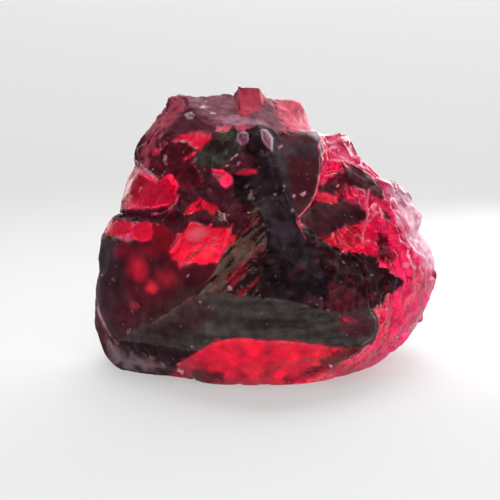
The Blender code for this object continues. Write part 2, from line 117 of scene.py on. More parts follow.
# Layers of smooth noise: strength, size in millimetres, seed.
STEP_WANDER = [(1.8, 1.9, 31), (1.0, 0.7, 32), (0.4, 0.3, 33)]
SWELL = [(0.02, 1.6, 2), (0.012, 0.45, 3)]
RAGGED_EDGES = [(1.0, 0.35, 4), (0.6, 0.16, 5)]
CLOUDS = [(1.0, 0.6, 6), (0.7, 0.22, 7)]
CHIPPED_EDGES = [(1.2, 0.14, 8), (1.0, 0.08, 9)]

# The stone's clear red, how it bends light, and its reflection, which is dim and tinted.
ABSORPTION_PER_MM = (0.012, 0.58, 0.31)  # red, green, blue
MOST_ABSORBED = 0.98  # how far from white the absorption node's colour goes
GARNET_IOR = 1.76
REFLECTION_LEVEL = 0.05
REFLECTION_TINT = (0.85, 0.25, 0.36, 1)

# Film at least this dense reaches this many steps past its outline, so that no bright gap shows beside it.
OPAQUE_FROM = 0.80
OPAQUE_OVERLAP = 1.4

# The film's roughness, and the finest patterns, whose scales are in spots to a metre.
FILM_ROUGHNESS = 0.44
MOTTLE_SCALE = 1800
SPECK_SCALE = 2600
GRAIN_SCALE = 5200
GRAIN_MM = 0.16  # how deep the grain looks

# The pale floor, and the light it gives off, with two painted pools of light: one round the stone, lifting the
# shadow it would cast, and a bright one behind it to the right. For each: middle, where it starts to fade,
# where it ends, bright, dim.
FLOOR_HALF = 10.0
FLOOR_TONE = (0.45, 0.45, 0.452, 1)
FLOOR_PAINTED_LIGHT = [
    ((0, 0, 0), 0.008, 0.070, 0.39, 0.17),
    ((0.030, 0.020, 0), 0.004, 0.036, 0.60, 0.0),
]

# The studio's lights: direction, cosines where each starts and where it is full, dim, bright.
WALL = ((0.05, 0.93, -0.36), 0.41, 0.62, 0.07, 3.1)
FRONT_LIGHT = ((0.10, -0.55, 0.83), 0.84, 0.97, 0.0, 2.1)
TOP_LIGHT = ((0.07, 0.38, 0.92), 0.92, 0.98, 0.0, 5.5)
WINDOW = ((0.25, 0.95, 0.12), 0.88, 0.97, 0.0, 1.5)
SIDE_WINDOW = ((0.70, 0.70, 0.05), 0.88, 0.97, 0.0, 4.5)
STUDIO_WHITE = (1.0, 0.99, 0.985, 1)
BACKDROP_LEVEL = 0.86  # the studio as the camera sees it

# Tones of the film: the surface's own colours, and those of its painted shade, sheen, glows and glints.
GREEN_GREY = (0.064, 0.056, 0.052)
COAL = (0.019, 0.013, 0.016)
SLATE = (0.03, 0.022, 0.03)
MAROON = (0.034, 0.005, 0.009)
DUSK = (0.05, 0.024, 0.034)
WINE = (0.45, 0.02, 0.05)
STRAW = (0.15, 0.13, 0.1)
CLEAR = (1.0, 1.0, 1.0)
CRIMSON = (0.5, 0.07, 0.1)
GARNET_SHADE = (0.2, 0.03, 0.05)
GARNET_DARK = (0.03, 0.006, 0.009)
CAP_PINK = (0.34, 0.055, 0.095)
CAP_RED = (0.45, 0.035, 0.07)
CROWN_PINK = (0.2, 0.07, 0.1)
GROOVE_WINE = (0.055, 0.018, 0.024)
WINDOW_WINE = (0.025, 0.005, 0.008)
FLANK_WINE = (0.05, 0.012, 0.018)
FLANK_RED = (0.13, 0.012, 0.022)
VIVID_RED = (0.97, 0.025, 0.085)
BOTTOM_RED = (0.38, 0.018, 0.055)
GLOW_RED = (0.5, 0.024, 0.05)
GLOW_PINK = (0.99, 0.24, 0.29)
GLOW_ROSE = (0.98, 0.12, 0.17)
CHEEK_RED = (0.95, 0.035, 0.17)
RIM_RED = (0.99, 0.05, 0.2)
CRUST_ROSE = (0.98, 0.11, 0.26)
CRUST_PINK = (0.99, 0.62, 0.78)
CROWN_DARK = (0.06, 0.014, 0.024)
CHIP_RED = (0.46, 0.045, 0.08)
HUMP_ROSE = (0.74, 0.1, 0.16)
WARM_GREY = (0.04, 0.025, 0.026)
HEEL_DARK = (0.05, 0.034, 0.036)
HEEL_GREY = (0.2, 0.18, 0.19)
STRIP_GREY = (0.022, 0.014, 0.018)
BLUSH = (0.52, 0.28, 0.34)
LILAC_DARK = (0.16, 0.07, 0.13)
MOSS = (0.06, 0.068, 0.055)
MAUVE = (0.34, 0.17, 0.24)
PALE_MAUVE = (0.45, 0.36, 0.42)
ROSE = (0.9, 0.16, 0.28)
PALE = (0.8, 0.62, 0.66)
BONE = (0.75, 0.66, 0.58)

# ---- zones of the front view

# The zones and the film on them, in the order it is laid: name, density, tone, how soft and how ragged the
# edge is, how cloudy the film is, outline. Most of the dark film is painted shade, the dark that light turned
# back inside the stone gives, and its grey and mauve tones are partly painted sheen; the red and pink films
# are partly painted glow; the streaks, flecks and crystals are the surface's own marks.
ZONES = [
    # The cap's pink film and its red streak are partly painted glow, for light through the stone.
    ("cap", 0.82, CAP_PINK, 4, 3, 0.2, [
        (168, 97), (190, 96), (200, 112), (214, 124), (214, 133), (190, 131), (172, 138), (164, 148),
        (152, 160), (160, 178), (142, 169), (133, 164), (131, 150), (144, 130), (160, 110)]),
    ("cap_shade", 0.80, CROWN_DARK, 6, 3, 0.2, [
        (188, 104), (200, 112), (212, 123), (214, 133), (192, 131), (174, 136), (166, 146), (158, 150),
        (154, 146), (162, 134), (174, 122)]),
    ("cap_edge", 0.70, CROWN_DARK, 6, 2, 0.2, [
        (131, 166), (129, 150), (143, 128), (155, 112), (160, 114), (150, 130), (143, 146), (142, 162)]),
    ("cap_streak", 0.45, CAP_RED, 8, 3, 0.2, [
        (148, 136), (156, 122), (166, 112), (174, 114), (166, 124), (158, 134), (152, 142)]),
    # The crown's mauve-pink films are partly painted sheen, for the light from above on its frosted top.
    ("crown", 0.88, CROWN_PINK, 4, 4, 0.10, [
        (190, 92), (234, 92), (240, 112), (256, 110), (268, 98), (276, 100), (280, 118), (290, 128),
        (280, 138), (262, 127), (248, 124), (220, 124), (204, 120), (192, 104)]),
    ("crown_ridge", 0.80, MAUVE, 5, 3, 0.1, [
        (215, 118), (232, 115), (250, 117), (264, 122), (278, 134), (274, 140), (262, 130), (246, 125),
        (228, 125)]),
    # The flank's dark wine films are painted shade: this side lies away from the light.
    ("flank", 0.84, FLANK_WINE, 10, 5, 0.12, [
        (96, 236), (132, 243), (150, 240), (168, 250), (180, 268), (192, 264), (215, 266), (214, 276),
        (205, 288), (190, 299), (169, 313), (150, 322), (133, 332), (118, 342), (98, 305), (90, 280)]),
    ("flank_low", 0.90, FLANK_WINE, 10, 5, 0.1, [
        (116, 344), (110, 322), (116, 300), (134, 304), (152, 300), (172, 290), (192, 284), (200, 290),
        (190, 300), (169, 314), (150, 323), (133, 333)]),
    ("left_strip", 0.88, STRIP_GREY, 20, 5, 0.1, [
        (92, 236), (112, 238), (118, 260), (116, 290), (122, 318), (132, 334), (118, 343), (106, 330),
        (98, 305), (90, 290)]),
    ("heel", 0.90, HEEL_DARK, 4, 2, 0.1, [
        (98, 300), (104, 318), (112, 335), (126, 347), (150, 357), (174, 364), (184, 372), (190, 382),
        (150, 382), (118, 374), (96, 350), (88, 320), (90, 300)]),
    ("rim_wine", 0.60, GARNET_DARK, 4, 2, 0.2, [
        (92, 300), (99, 312), (104, 330), (114, 346), (122, 360), (112, 366), (100, 352), (92, 330)]),
    ("arch_hollow", 0.72, GARNET_DARK, 4, 4, 0.3, [
        (163, 149), (172, 142), (186, 143), (196, 151), (190, 158), (198, 168), (206, 184), (190, 192),
        (178, 186), (172, 174), (160, 178), (148, 172), (150, 160)]),
    # The groove's dark film is painted shade in the gap between the bulge above and the block below.
    ("groove", 0.80, GROOVE_WINE, 3, 3, 0.2, [
        (119, 210), (134, 209), (150, 209), (166, 206), (178, 200), (184, 206), (180, 216), (190, 222),
        (182, 232), (170, 232), (158, 222), (146, 221), (130, 220), (112, 219), (116, 214)]),
    # The dark films of the middle, spine, block, window, point, core and hub are painted shade: the dark that
    # light turned back inside the stone gives.
    ("middle", 0.85, DUSK, 3, 6, 0.2, [
        (213, 134), (236, 130), (250, 134), (262, 150), (258, 170), (250, 190), (254, 205), (247, 226),
        (236, 243), (230, 228), (214, 226), (200, 222), (190, 221), (180, 216), (176, 206), (177, 190),
        (190, 190), (206, 186), (198, 168), (189, 160), (200, 150)]),
    ("moss", 0.97, MOSS, 5, 6, 0.1, [
        (196, 160), (206, 148), (218, 136), (232, 130), (240, 140), (232, 154), (222, 166), (204, 166)]),
    ("spine_left", 0.98, COAL, 4, 4, 0.0, [
        (236, 134), (258, 128), (267, 150), (274, 175), (279, 198), (264, 200), (250, 206), (240, 200),
        (232, 186), (236, 176), (250, 174), (258, 160), (250, 148)]),
    ("block", 0.85, MAROON, 2, 1, 0.1, [
        (279, 139), (284, 132), (300, 132), (316, 132), (322, 142), (320, 160), (318, 178), (316, 190),
        (310, 203), (303, 211), (296, 219), (291, 206), (285, 190), (281, 168), (279, 152)]),
    ("block_band", 0.90, SLATE, 6, 4, 0.0, [
        (284, 146), (300, 144), (317, 146), (317, 156), (302, 154), (285, 154)]),
    # The right side's bright red and pink films are partly painted glow, for light from behind through its
    # thin, frosted rim; the pale pink one on the rim is a painted highlight.
    ("right_red", 0.28, CHEEK_RED, 10, 8, 0.9, [
        (322, 134), (346, 130), (378, 160), (418, 190), (440, 230), (450, 280), (420, 300), (400, 276),
        (376, 258), (340, 248), (306, 232), (318, 196), (326, 164)]),
    ("right_low", 0.42, RIM_RED, 10, 8, 0.9, [
        (400, 276), (424, 262), (450, 262), (456, 310), (420, 360), (370, 386), (330, 396), (310, 382),
        (346, 368), (374, 348), (382, 326), (380, 306), (396, 292)]),
    ("crust", 0.42, CRUST_ROSE, 14, 8, 0.9, [
        (326, 133), (346, 136), (360, 156), (390, 181), (410, 196), (425, 212), (424, 230), (432, 240),
        (440, 268), (436, 300), (428, 306), (426, 285), (424, 262), (414, 246), (404, 228), (392, 208),
        (372, 186), (350, 162), (330, 150)]),
    ("crust_pale", 0.58, CRUST_PINK, 10, 8, 0.6, [
        (384, 176), (412, 190), (430, 212), (430, 236), (440, 250), (438, 270), (424, 262), (414, 246),
        (404, 228), (396, 208)]),
    ("window", 0.66, WINDOW_WINE, 9, 8, 0.7, [
        (342, 165), (352, 167), (366, 172), (375, 181), (381, 189), (380, 198), (374, 197), (362, 189),
        (350, 183), (343, 190), (332, 194), (320, 192), (318, 186), (328, 181), (340, 178)]),
    ("window_low", 0.84, WINDOW_WINE, 12, 7, 0.3, [
        (316, 203), (330, 203), (346, 202), (358, 206), (364, 216), (352, 224), (338, 228), (330, 238),
        (318, 238), (304, 226), (300, 218), (308, 210)]),
    ("cheek_gap", 0.28, GARNET_DARK, 7, 5, 0.2, [
        (380, 230), (386, 236), (388, 250), (396, 254), (392, 262), (380, 260), (377, 248)]),
    ("cheek_spot", 0.35, GARNET_DARK, 5, 4, 0.0, [
        (381, 213), (388, 211), (394, 217), (390, 223), (384, 221)]),
    ("point", 0.90, COAL, 3, 8, 0.2, [
        (303, 232), (316, 236), (330, 246), (349, 252), (362, 256), (376, 262), (387, 269), (401, 281),
        (393, 289), (385, 297), (378, 303), (371, 310), (353, 292), (328, 281), (315, 272), (308, 256)]),
    ("core", 1.00, COAL, 3, 2, 0.0, [
        (254, 205), (264, 216), (272, 232), (277, 247), (284, 254), (300, 262), (315, 272), (328, 281),
        (353, 290), (372, 300), (371, 310), (353, 313), (335, 314), (318, 311), (302, 305), (287, 301),
        (270, 299), (255, 299), (258, 283), (262, 262), (268, 240)]),
    ("black_break", 0.80, DUSK, 4, 7, 0.2, [
        (328, 281), (353, 290), (372, 300), (371, 310), (353, 313), (335, 314), (322, 306), (330, 296)]),
    ("hub", 0.98, SLATE, 4, 3, 0.0, [
        (250, 203), (262, 198), (276, 196), (290, 212), (300, 228), (308, 243), (318, 258), (332, 278),
        (326, 284), (312, 274), (298, 265), (283, 257), (275, 246), (270, 232), (262, 217)]),
    ("spine", 0.98, SLATE, 3, 3, 0.0, [
        (258, 127), (268, 128), (280, 140), (284, 160), (287, 185), (293, 205), (297, 220), (290, 218),
        (283, 204), (276, 190), (272, 172), (266, 152)]),
    ("fan", 0.95, COAL, 3, 3, 0.1, [
        (190, 299), (205, 286), (217, 270), (222, 258), (234, 243), (247, 226), (254, 205), (262, 216),
        (268, 240), (264, 262), (258, 283), (255, 298), (238, 297), (222, 293), (206, 294)]),
    ("fan_red", 0.45, GARNET_DARK, 5, 4, 0.2, [
        (228, 284), (234, 266), (244, 256), (248, 262), (240, 278), (232, 290)]),
    # The scoop's green-grey film is partly painted sheen, for the dim light that its smooth face gives back.
    ("scoop", 1.00, GREEN_GREY, 2, 1, 0.0, [
        (118, 342), (133, 332), (150, 322), (169, 313), (190, 299), (206, 294), (222, 293), (238, 297),
        (255, 299), (270, 299), (287, 301), (302, 305), (318, 311), (335, 314), (353, 313), (371, 310),
        (377, 319), (377, 330), (373, 340), (362, 347), (348, 348.5), (332, 346), (314, 343.5), (297, 341),
        (281, 339.5), (265, 340), (250, 337.5), (235, 337), (220, 340), (208, 344), (200, 350), (184, 352),
        (165, 348), (147, 345), (132, 343)]),
    ("scoop_warm", 0.97, WARM_GREY, 30, 6, 0.0, [
        (116, 344), (133, 331), (150, 321), (190, 298), (214, 294), (216, 318), (200, 336), (170, 346),
        (140, 345)]),
    ("scoop_shade", 0.96, COAL, 3, 2, 0.0, [
        (118, 342), (132, 342), (165, 347), (186, 351), (198, 351), (184, 359), (174, 364), (150, 357),
        (128, 349)]),
    ("scoop_end", 0.85, DUSK, 8, 3, 0.1, [
        (337, 317), (352, 312), (368, 316), (374, 326), (370, 336), (356, 338), (342, 330)]),
    ("heel_smear", 0.80, HEEL_GREY, 16, 9, 0.2, [
        (112, 342), (122, 352), (136, 356), (150, 358), (166, 364), (160, 371), (144, 374), (128, 370),
        (117, 360)]),
    # The bottom's red film is partly painted glow, for the floor's light coming up through the stone.
    ("bottom", 0.50, BOTTOM_RED, 8, 5, 0.6, [
        (150, 388), (172, 372), (186, 358), (200, 350), (211, 343), (236, 338), (260, 341), (290, 342),
        (320, 345), (348, 349), (340, 368), (300, 384), (250, 396), (190, 394)]),
    ("crack", 0.55, GARNET_DARK, 5, 6, 0.3, [
        (351, 349), (362, 349), (352, 357), (338, 364), (322, 370), (306, 377), (288, 383), (284, 380),
        (302, 373), (318, 365), (326, 357), (338, 351)]),
    # The sole's dark film is painted shade where the stone stands on the floor.
    ("sole", 0.60, GARNET_DARK, 7, 4, 0.2, [
        (190, 378), (196, 371), (212, 373), (224, 374), (222, 381), (212, 385), (198, 385)]),
    # The chip's red and the hump's rose films are partly painted glow, for light through these thin pieces.
    ("chip", 0.80, CHIP_RED, 3, 1, 0.2, [
        (234, 97), (238, 84), (262, 86), (268, 98), (258, 110), (241, 116)]),
    ("hump", 0.72, HUMP_ROSE, 8, 3, 0.4, [
        (268, 98), (300, 98), (310, 116), (320, 130), (300, 133), (284, 131), (276, 116)]),
    # Patches where the dark film is broken away or thin. The red films on them are partly painted glow, for
    # the light that comes through the stone.
    ("cap_pit", 0.10, CRIMSON, 2, 1, 0.0, [
        (186, 100), (188, 103), (182, 109), (176, 113), (173, 111), (178, 104)]),
    ("bulge", 0.08, CRIMSON, 5, 3, 0.3, [
        (133, 164), (146, 172), (158, 182), (176, 190), (178, 200), (166, 206), (150, 209), (130, 210),
        (116, 210), (116, 196), (124, 178)]),
    ("cap_glow", 0.10, CRIMSON, 4, 3, 0.2, [
        (149, 157), (156, 148), (166, 140), (172, 138), (166, 146), (158, 154), (152, 160)]),
    ("arch", 0.45, VIVID_RED, 4, 1.4, 0.4, [
        (172, 139), (184, 133), (200, 131), (211, 133), (212, 138), (205, 145), (199, 151), (194, 147),
        (192, 142), (186, 140), (179, 139)]),
    ("tail", 0.10, CRIMSON, 3, 1.5, 0.2, [(180, 160), (190, 153), (199, 150), (193, 156), (186, 161)]),
    ("lip", 0.35, VIVID_RED, 4, 1.4, 0.4, [
        (158, 181), (164, 176), (170, 173), (174, 178), (178, 185), (175, 190), (166, 187), (159, 185)]),
    ("triangle", 0.35, VIVID_RED, 4, 1.4, 0.4, [
        (182, 217), (186, 208), (193, 202), (201, 197), (207, 202), (218, 206), (219, 210), (212, 216),
        (207, 210), (200, 210), (191, 215)]),
    ("small", 0.0, CLEAR, 4, 1.4, 0.1, [
        (211, 168), (223, 169), (232, 177), (233, 184), (225, 189), (220, 184), (217, 179), (212, 174)]),
    ("small_dim", 0.20, CRIMSON, 3, 2, 0.2, [(236, 174), (242, 169), (257, 169), (258, 173), (246, 175)]),
    ("between", 0.45, FLANK_RED, 6, 4, 0.4, [
        (152, 222), (166, 226), (178, 236), (172, 246), (168, 256), (158, 250), (151, 240)]),
    ("large", 0.50, VIVID_RED, 5, 2.5, 0.4, [
        (182, 233), (192, 223), (206, 226), (212, 228), (226, 227), (227, 234), (223, 243), (212, 244),
        (201, 245), (194, 250), (189, 256), (182, 261), (180, 268), (176, 262), (170, 257), (170, 252),
        (177, 246)]),
    ("large_low", 0.45, VIVID_RED, 4, 1.4, 0.4, [
        (190, 259), (198, 251), (207, 247), (217, 252), (219, 256), (214, 261), (204, 265), (194, 262)]),
    ("slit", 0.0, CLEAR, 4, 1.4, 0.1, [(228, 231), (230, 225), (233, 223), (233, 228), (230, 233)]),
    ("slit_low", 0.20, CRIMSON, 3, 1.5, 0.2, [(228, 242), (232, 234), (237, 235), (236, 242), (231, 245)]),
    ("left", 0.40, VIVID_RED, 4, 1.4, 0.2, [
        (131, 231), (136, 225), (148, 220), (152, 232), (149, 241), (141, 243), (134, 237)]),
    ("corner", 0.40, VIVID_RED, 4, 2, 0.2, [
        (106, 236), (108, 224), (112, 220), (130, 222), (130, 233), (120, 236)]),
    ("crescent", 0.50, VIVID_RED, 2, 1, 0.3, [
        (316, 195), (326, 192), (338, 200), (337, 203), (326, 202), (317, 200)]),
    ("broken_red", 0.10, CRIMSON, 3, 2, 0.3, [
        (330, 235), (340, 228), (362, 224), (362, 246), (350, 248), (336, 247), (322, 240)]),
]
OUTLINES = {name: outline for name, *_, outline in ZONES}

# Soft boxes of the front view: the axis of a side, where the weight is 0 there, and where it is 1.
BOXES = {
    "crown": [(Y, 140, 116)],
    "crown_film": [(Y, 138, 126)],
    "below_crown": [(Y, 124, 140)],
    "right_half": [(X, 270, 300)],
    "far_right": [(X, 396, 416)],
    "frosted_rim": [(X, 404, 424)],
    "knobbly_rim": [(X, 400, 422), (Y, 196, 220)],
    "cheek": [(X, 336, 372), (Y, 150, 190), (Y, 372, 352)],
    "low_band": [(X, 190, 220), (Y, 338, 350)],
    "bulge": [(X, 118, 124), (X, 182, 172), (Y, 162, 172), (Y, 216, 206)],
}

# Where the fan meets the flank and the scoop, and the way its streaks run.
FAN_BORDER = [(188, 301), (205, 287), (222, 270), (240, 253), (262, 233)]
FAN_RIGHT, FAN_UP = 0.73, 0.68

# The zones that have no steps.
SMOOTH_ZONES = [
    "scoop", "heel", "left_strip", "fan", "hub", "spine", "flank", "block", "left", "corner",
    "between", "bottom", "bulge"]

# The places of the front that are broken: softness of the edge, zones.
BROKEN_PLACES = {
    "middle": (8, "middle", "moss"),
    "hollow": (8, "arch_hollow", "groove"),
    "point": (8, "point", "black_break"),
    "core": (6, "core", "spine_left"),
    "fan": (4, "fan"),
    "flank": (10, "flank"),
    "patches": (6, "large", "large_low", "between"),
    "block": (3, "block"),
    "window": (6, "window", "window_low", "broken_red"),
}

# How strongly each place is broken by big bites, bites, small bites, splinters, knobs and small knobs.
RELIEF = {
    "middle": (0, 0.80, 1.00, 0, 0, 0),
    "hollow": (0, 0.50, 0.60, 0, 0, 0),
    "point": (0, 0.50, 0, 0.90, 0, 0),
    "core": (0, 0.50, 0.25, 0, 0, 0),
    "fan": (0, 0, 0.30, 0, 0, 0),
    "flank": (0.30, 0, 0.10, 0, 0, 0),
    "patches": (0, 0.16, 0.08, 0, 0, 0),
    "block": (0.12, 0, 0.05, 0, 0, 0),
    "window": (0, 0.16, 0.08, 0, 0, 0),
    "cheek": (0, 0.24, 0.18, 0, 0, 0),
    "low_band": (0.35, 0, 0.30, 0, 0, 0),
    "crust": (0, 0, 0, 0, 0.28, 0.22),
    "crown": (0, 0, 0.35, 0, 0, 0.35),
    "bulge": (0, 0.20, 0.08, 0, 0, 0),
    "back": (0.35, 0.25, 0.08, 0, 0, 0),
}

# The zones whose film changes its tone from facet to facet.
VARIED_ZONES = ["middle", "point", "black_break", "core", "arch_hollow", "groove", "hub", "spine"]

# Painted glows and glints, for light through the stone and its highlights: tone and density of the film there,
# x, y, half length, half width, turn in degrees.
PAINTED_GLOWS = [
    (FLANK_RED, 0.60, 122, 251, 15, 11, 0), (FLANK_RED, 0.60, 150, 251, 20, 10, 10),
    (FLANK_RED, 0.62, 166, 278, 17, 14, 0), (FLANK_RED, 0.60, 134, 305, 7, 6, 0),
    (GLOW_RED, 0.50, 137, 268, 14, 19, -12), (GLOW_RED, 0.40, 152, 288, 9, 8, 0),
    (GLOW_PINK, 0.60, 198, 233, 16, 10, -15), (GLOW_ROSE, 0.50, 208, 253, 12, 7, -15),
    (CRUST_PINK, 0.60, 406, 265, 6, 4, -20), (CRUST_PINK, 0.55, 429, 262, 7, 12, 0),
    (CRUST_PINK, 0.55, 411, 243, 6, 5, 30), (CRUST_ROSE, 0.55, 340, 160, 7, 4, 40),
    (CRUST_PINK, 0.55, 334, 146, 6, 6, 0),
]

# How rough the bare surface is: roughness outside and inside, softness of the edge, zones.
BARE_ROUGHNESS = 0.06
BACK_ROUGHNESS = 0.28
FROST = [
    (0.06, 0.24, 12, "crust"),
    (0.10, 0.45, 6, "heel"),
    (0.0, 0.22, 6, "hump", "chip", "window", "window_low"),
    (0.0, 0.14, 6, "arch", "bulge", "large"),
]

# How gritty the surface is: strength, softness of the edge, zones.
BARE_GRIT = 0.15
BACK_GRIT = 0.3
GRIT = [
    (1.0, 6, "middle", "moss", "fan", "point", "groove"),
    (0.6, 6, "arch_hollow", "black_break", "core", "cap_shade"),
]

# Small chips and crystals in the surface, and a few painted glints: tone, x, y, half length, half width, turn
# in degrees.
FLECKS = [
    (BONE, 222, 217, 6.5, 4.5, 60), (BONE, 251, 196, 4.5, 3.2, 60), (PALE, 247, 187, 3, 2.2, 50),
    (PALE, 165, 159, 4.5, 1.8, 65), (BONE, 195, 160, 5, 1.6, -50), (STRAW, 206, 190, 2.2, 1.6, 0),
    (BONE, 284, 186, 2, 1.8, 0), (BONE, 275, 194, 1.8, 1.5, 0), (BLUSH, 294, 196, 2.6, 1.5, -55),
    (BLUSH, 303, 194, 2.8, 1.8, -30), (PALE, 292, 210, 2.2, 2, 0), (PALE_MAUVE, 262, 151, 1.6, 1.4, 0),
    (PALE, 243, 128, 1.4, 1.2, 0), (ROSE, 280, 147, 3.2, 2.4, -40), (PALE, 281, 147, 1.5, 1.3, 0),
    (PALE_MAUVE, 278, 283, 2, 1.6, 0), (PALE_MAUVE, 327, 310, 2.4, 1.5, -20),
    (PALE_MAUVE, 321, 298, 1.6, 1.3, 0), (PALE, 229, 288, 2.6, 1.8, 30), (HEEL_GREY, 138, 306, 5, 1.4, -62),
    (PALE_MAUVE, 132, 313, 2.2, 1.1, -40), (PALE_MAUVE, 129, 331, 3.8, 1.8, -60),
    (PALE_MAUVE, 114, 280, 2.6, 1.4, -65), (PALE, 102, 275, 1.2, 1, 0), (PALE, 181, 371, 3.6, 2.2, 20),
    (PALE, 192, 347, 2.2, 1.4, 0), (PALE_MAUVE, 188, 276, 2, 1, -55), (PALE, 200, 302, 1.2, 1, 0),
    (PALE, 208, 307, 1.3, 1.1, 0), (PALE, 232, 158, 6, 1.1, -30), (PALE_MAUVE, 238, 164, 3.5, 1, -60),
    # Painted glints: the pale flecks at (203, 106), (212, 113) and (206, 101) on the crown, and at (131, 176),
    # (141, 189) and (131, 197) on the bulge.
    (PALE, 227, 166, 3, 0.9, -40), (PALE, 338, 186, 1.4, 1.2, 0), (PALE, 203, 106, 4.2, 2.6, 20),
    (PALE, 212, 113, 2.2, 1.6, 0), (PALE, 206, 101, 2, 1.2, 0), (PALE, 131, 176, 3.2, 1.3, -60),
    (PALE, 141, 189, 3, 0.9, -62), (PALE, 131, 197, 2.6, 0.8, -60), (ROSE, 156, 214, 3.2, 1.6, -10),
    (PALE_MAUVE, 188, 198, 1.6, 1.2, 0), (STRAW, 209, 189, 2.8, 2.2, 0), (ROSE, 333, 235, 1.4, 2.4, 0),
    (ROSE, 345, 252, 3, 2, 20), (ROSE, 379, 308, 2.6, 2, 0), (STRAW, 376, 294, 1.6, 1.2, 0),
    # Painted glints: the flecks at (331, 366), (397, 337) and (361, 362), low on the right.
    (DUSK, 308, 164, 1.8, 1.4, 0), (WINE, 350, 320, 7, 3, 20), (PALE, 331, 366, 1.8, 1.2, 20),
    (PALE, 397, 337, 2, 1.2, -40), (ROSE, 361, 362, 2.2, 1, -30), (MOSS, 336, 329, 2, 0.9, 20),
    (MOSS, 246, 321, 2.4, 0.8, 10), (MOSS, 300, 326, 1.6, 0.8, 0),
]

# Purple crystals that stand out of the surface, with pale edges.
CRYSTALS = [
    [(238, 133), (244, 131), (249, 135), (248, 142), (242, 145), (237, 140)],
    [(261, 129), (267, 130), (273, 138), (272, 151), (267, 147), (262, 139)],
    [(186, 114), (191, 112), (194, 115), (191, 119), (187, 118)],
]

# Thin ribs on the surface: half width, tone, height in millimetres, points. The pale mauve lines along the
# lower-left rim and along the lip are painted highlights on those edges.
LINES = [
    (0.8, ROSE, 0.03, [
        (325, 136), (319, 143), (319, 152), (324, 160), (327, 160), (324, 169), (320, 175), (317, 189),
        (310, 204), (303, 212), (296, 219), (300, 228), (306, 239)]),
    (1.1, ROSE, 0.06, [(369, 191), (367, 204), (368, 214), (366, 224), (363, 234), (362, 247)]),
    (0.8, ROSE, 0.04, [(379, 212), (373, 217), (367, 224)]),
    (0.6, STRAW, 0.03, [(182, 201), (175, 207), (168, 214), (162, 221)]),
    # A painted highlight along the lower-left rim.
    (1.4, PALE_MAUVE, 0.03, [(97, 300), (99, 312), (105, 326), (112, 338), (118, 344)]),
    (0.9, STRAW, 0.03, [(190, 299), (178, 307), (166, 315), (152, 324)]),
    # A painted highlight along the lip's edge.
    (1.1, PALE_MAUVE, 0.03, [(134, 160), (142, 166), (150, 173), (158, 181)]),
    (0.9, ROSE, 0.02, [(178, 195), (176, 203), (168, 210), (160, 214), (152, 214)]),
    (0.8, PALE_MAUVE, 0.02, [(371, 312), (376, 320), (376, 330), (371, 339), (362, 345)]),
    (0.7, STRAW, 0.02, [(190, 258), (195, 252), (199, 248)]),
]


# ---- places on the stone

def to_stone(points):
    """World metres to (across, up, toward) millimetres from the middle point."""
    return (points - np.array(MIDDLE)) / MM @ np.array([ACROSS, UP, TOWARD]).T


def to_front_view(points):
    """Stone millimetres to steps of the front view."""
    scale = PER_MM / (1 - points[:, 2] / VIEW_MM)
    return np.stack([VIEW_CENTRE + points[:, 0] * scale, VIEW_CENTRE - points[:, 1] * scale], 1)


def ramp(value, low, high):
    """Rise softly from 0 at low to 1 at high, which may be the smaller of the two."""
    t = np.clip((value - low) / (high - low), 0, 1)
    return t * t * (3 - 2 * t)


def line_distance(points, line):
    """Distance from each point to an open line."""
    nearest = np.full(len(points), np.inf)
    for start, end in zip(np.array(line[:-1], float), np.array(line[1:], float)):
        side = end - start
        along = np.clip(((points - start) @ side) / (side @ side), 0, 1)
        nearest = np.minimum(nearest, np.linalg.norm(points - (start + along[:, None] * side), axis=1))
    return nearest


def inward_distance(points, outline):
    """Distance from each point to a closed outline, positive inside."""
    within = np.zeros(len(points), bool)
    corners = np.array(outline, float)
    for start, end in zip(corners, np.roll(corners, -1, axis=0)):
        rise = end[1] - start[1]
        if rise == 0:
            continue
        crosses = (end[1] > points[:, 1]) != (start[1] > points[:, 1])
        reach = start[0] + (end[0] - start[0]) * (points[:, 1] - start[1]) / rise
        within ^= crosses & (points[:, 0] < reach)
    nearest = line_distance(points, outline + outline[:1])
    return np.where(within, nearest, -nearest)


def oval_distance(view, x, y, long, wide, turn):
    """Distance to an oval's edge as a share of its size: 1 at its centre, 0 on its edge."""
    angle = math.radians(turn)
    right = view[:, X] - x
    down = view[:, Y] - y
    along = (right * math.cos(angle) + down * math.sin(angle)) / long
    across = (down * math.cos(angle) - right * math.sin(angle)) / wide
    return 1 - np.hypot(along, across)


def inside(view, soft, *names):
    """Weight of zones of the front view: 1 inside any of them, falling to 0 over the soft edge."""
    depths = [inward_distance(view, OUTLINES[name]) for name in names]
    return np.max([ramp(depth, -soft / 2, soft / 2) for depth in depths], axis=0)


def in_box(view, name):
    """Weight of a soft box of the front view."""
    weight = np.ones(len(view))
    for axis, absent, full in BOXES[name]:
        weight *= ramp(view[:, axis], absent, full)
    return weight


# ---- random patterns

def soft_noise(points, size, seed):
    """Smooth noise of -0.5 to 0.5 at each point, from random values on a grid of this size."""
    scaled = (points - points.min(0)) / size
    cell = np.floor(scaled).astype(int)
    part = ramp(scaled - cell, 0, 1)
    grid = np.random.default_rng(seed).uniform(-0.5, 0.5, cell.max(0) + 2)
    total = np.zeros(len(scaled))
    for corner in np.ndindex(2, 2, 2):
        share = np.prod(np.where(corner, part, 1 - part), axis=1)
        total += share * grid[tuple((cell + corner).T)]
    return total


def noise_layers(points, layers):
    return sum(strength * soft_noise(points, size, seed) for strength, size, seed in layers)


def streak_noise(first, first_size, second, second_size, seed):
    """Noise over two directions of the front view, drawn out along the one with the larger size."""
    flat = np.zeros(len(first))
    return soft_noise(np.stack([first / first_size, second / second_size, flat], 1), 1, seed)


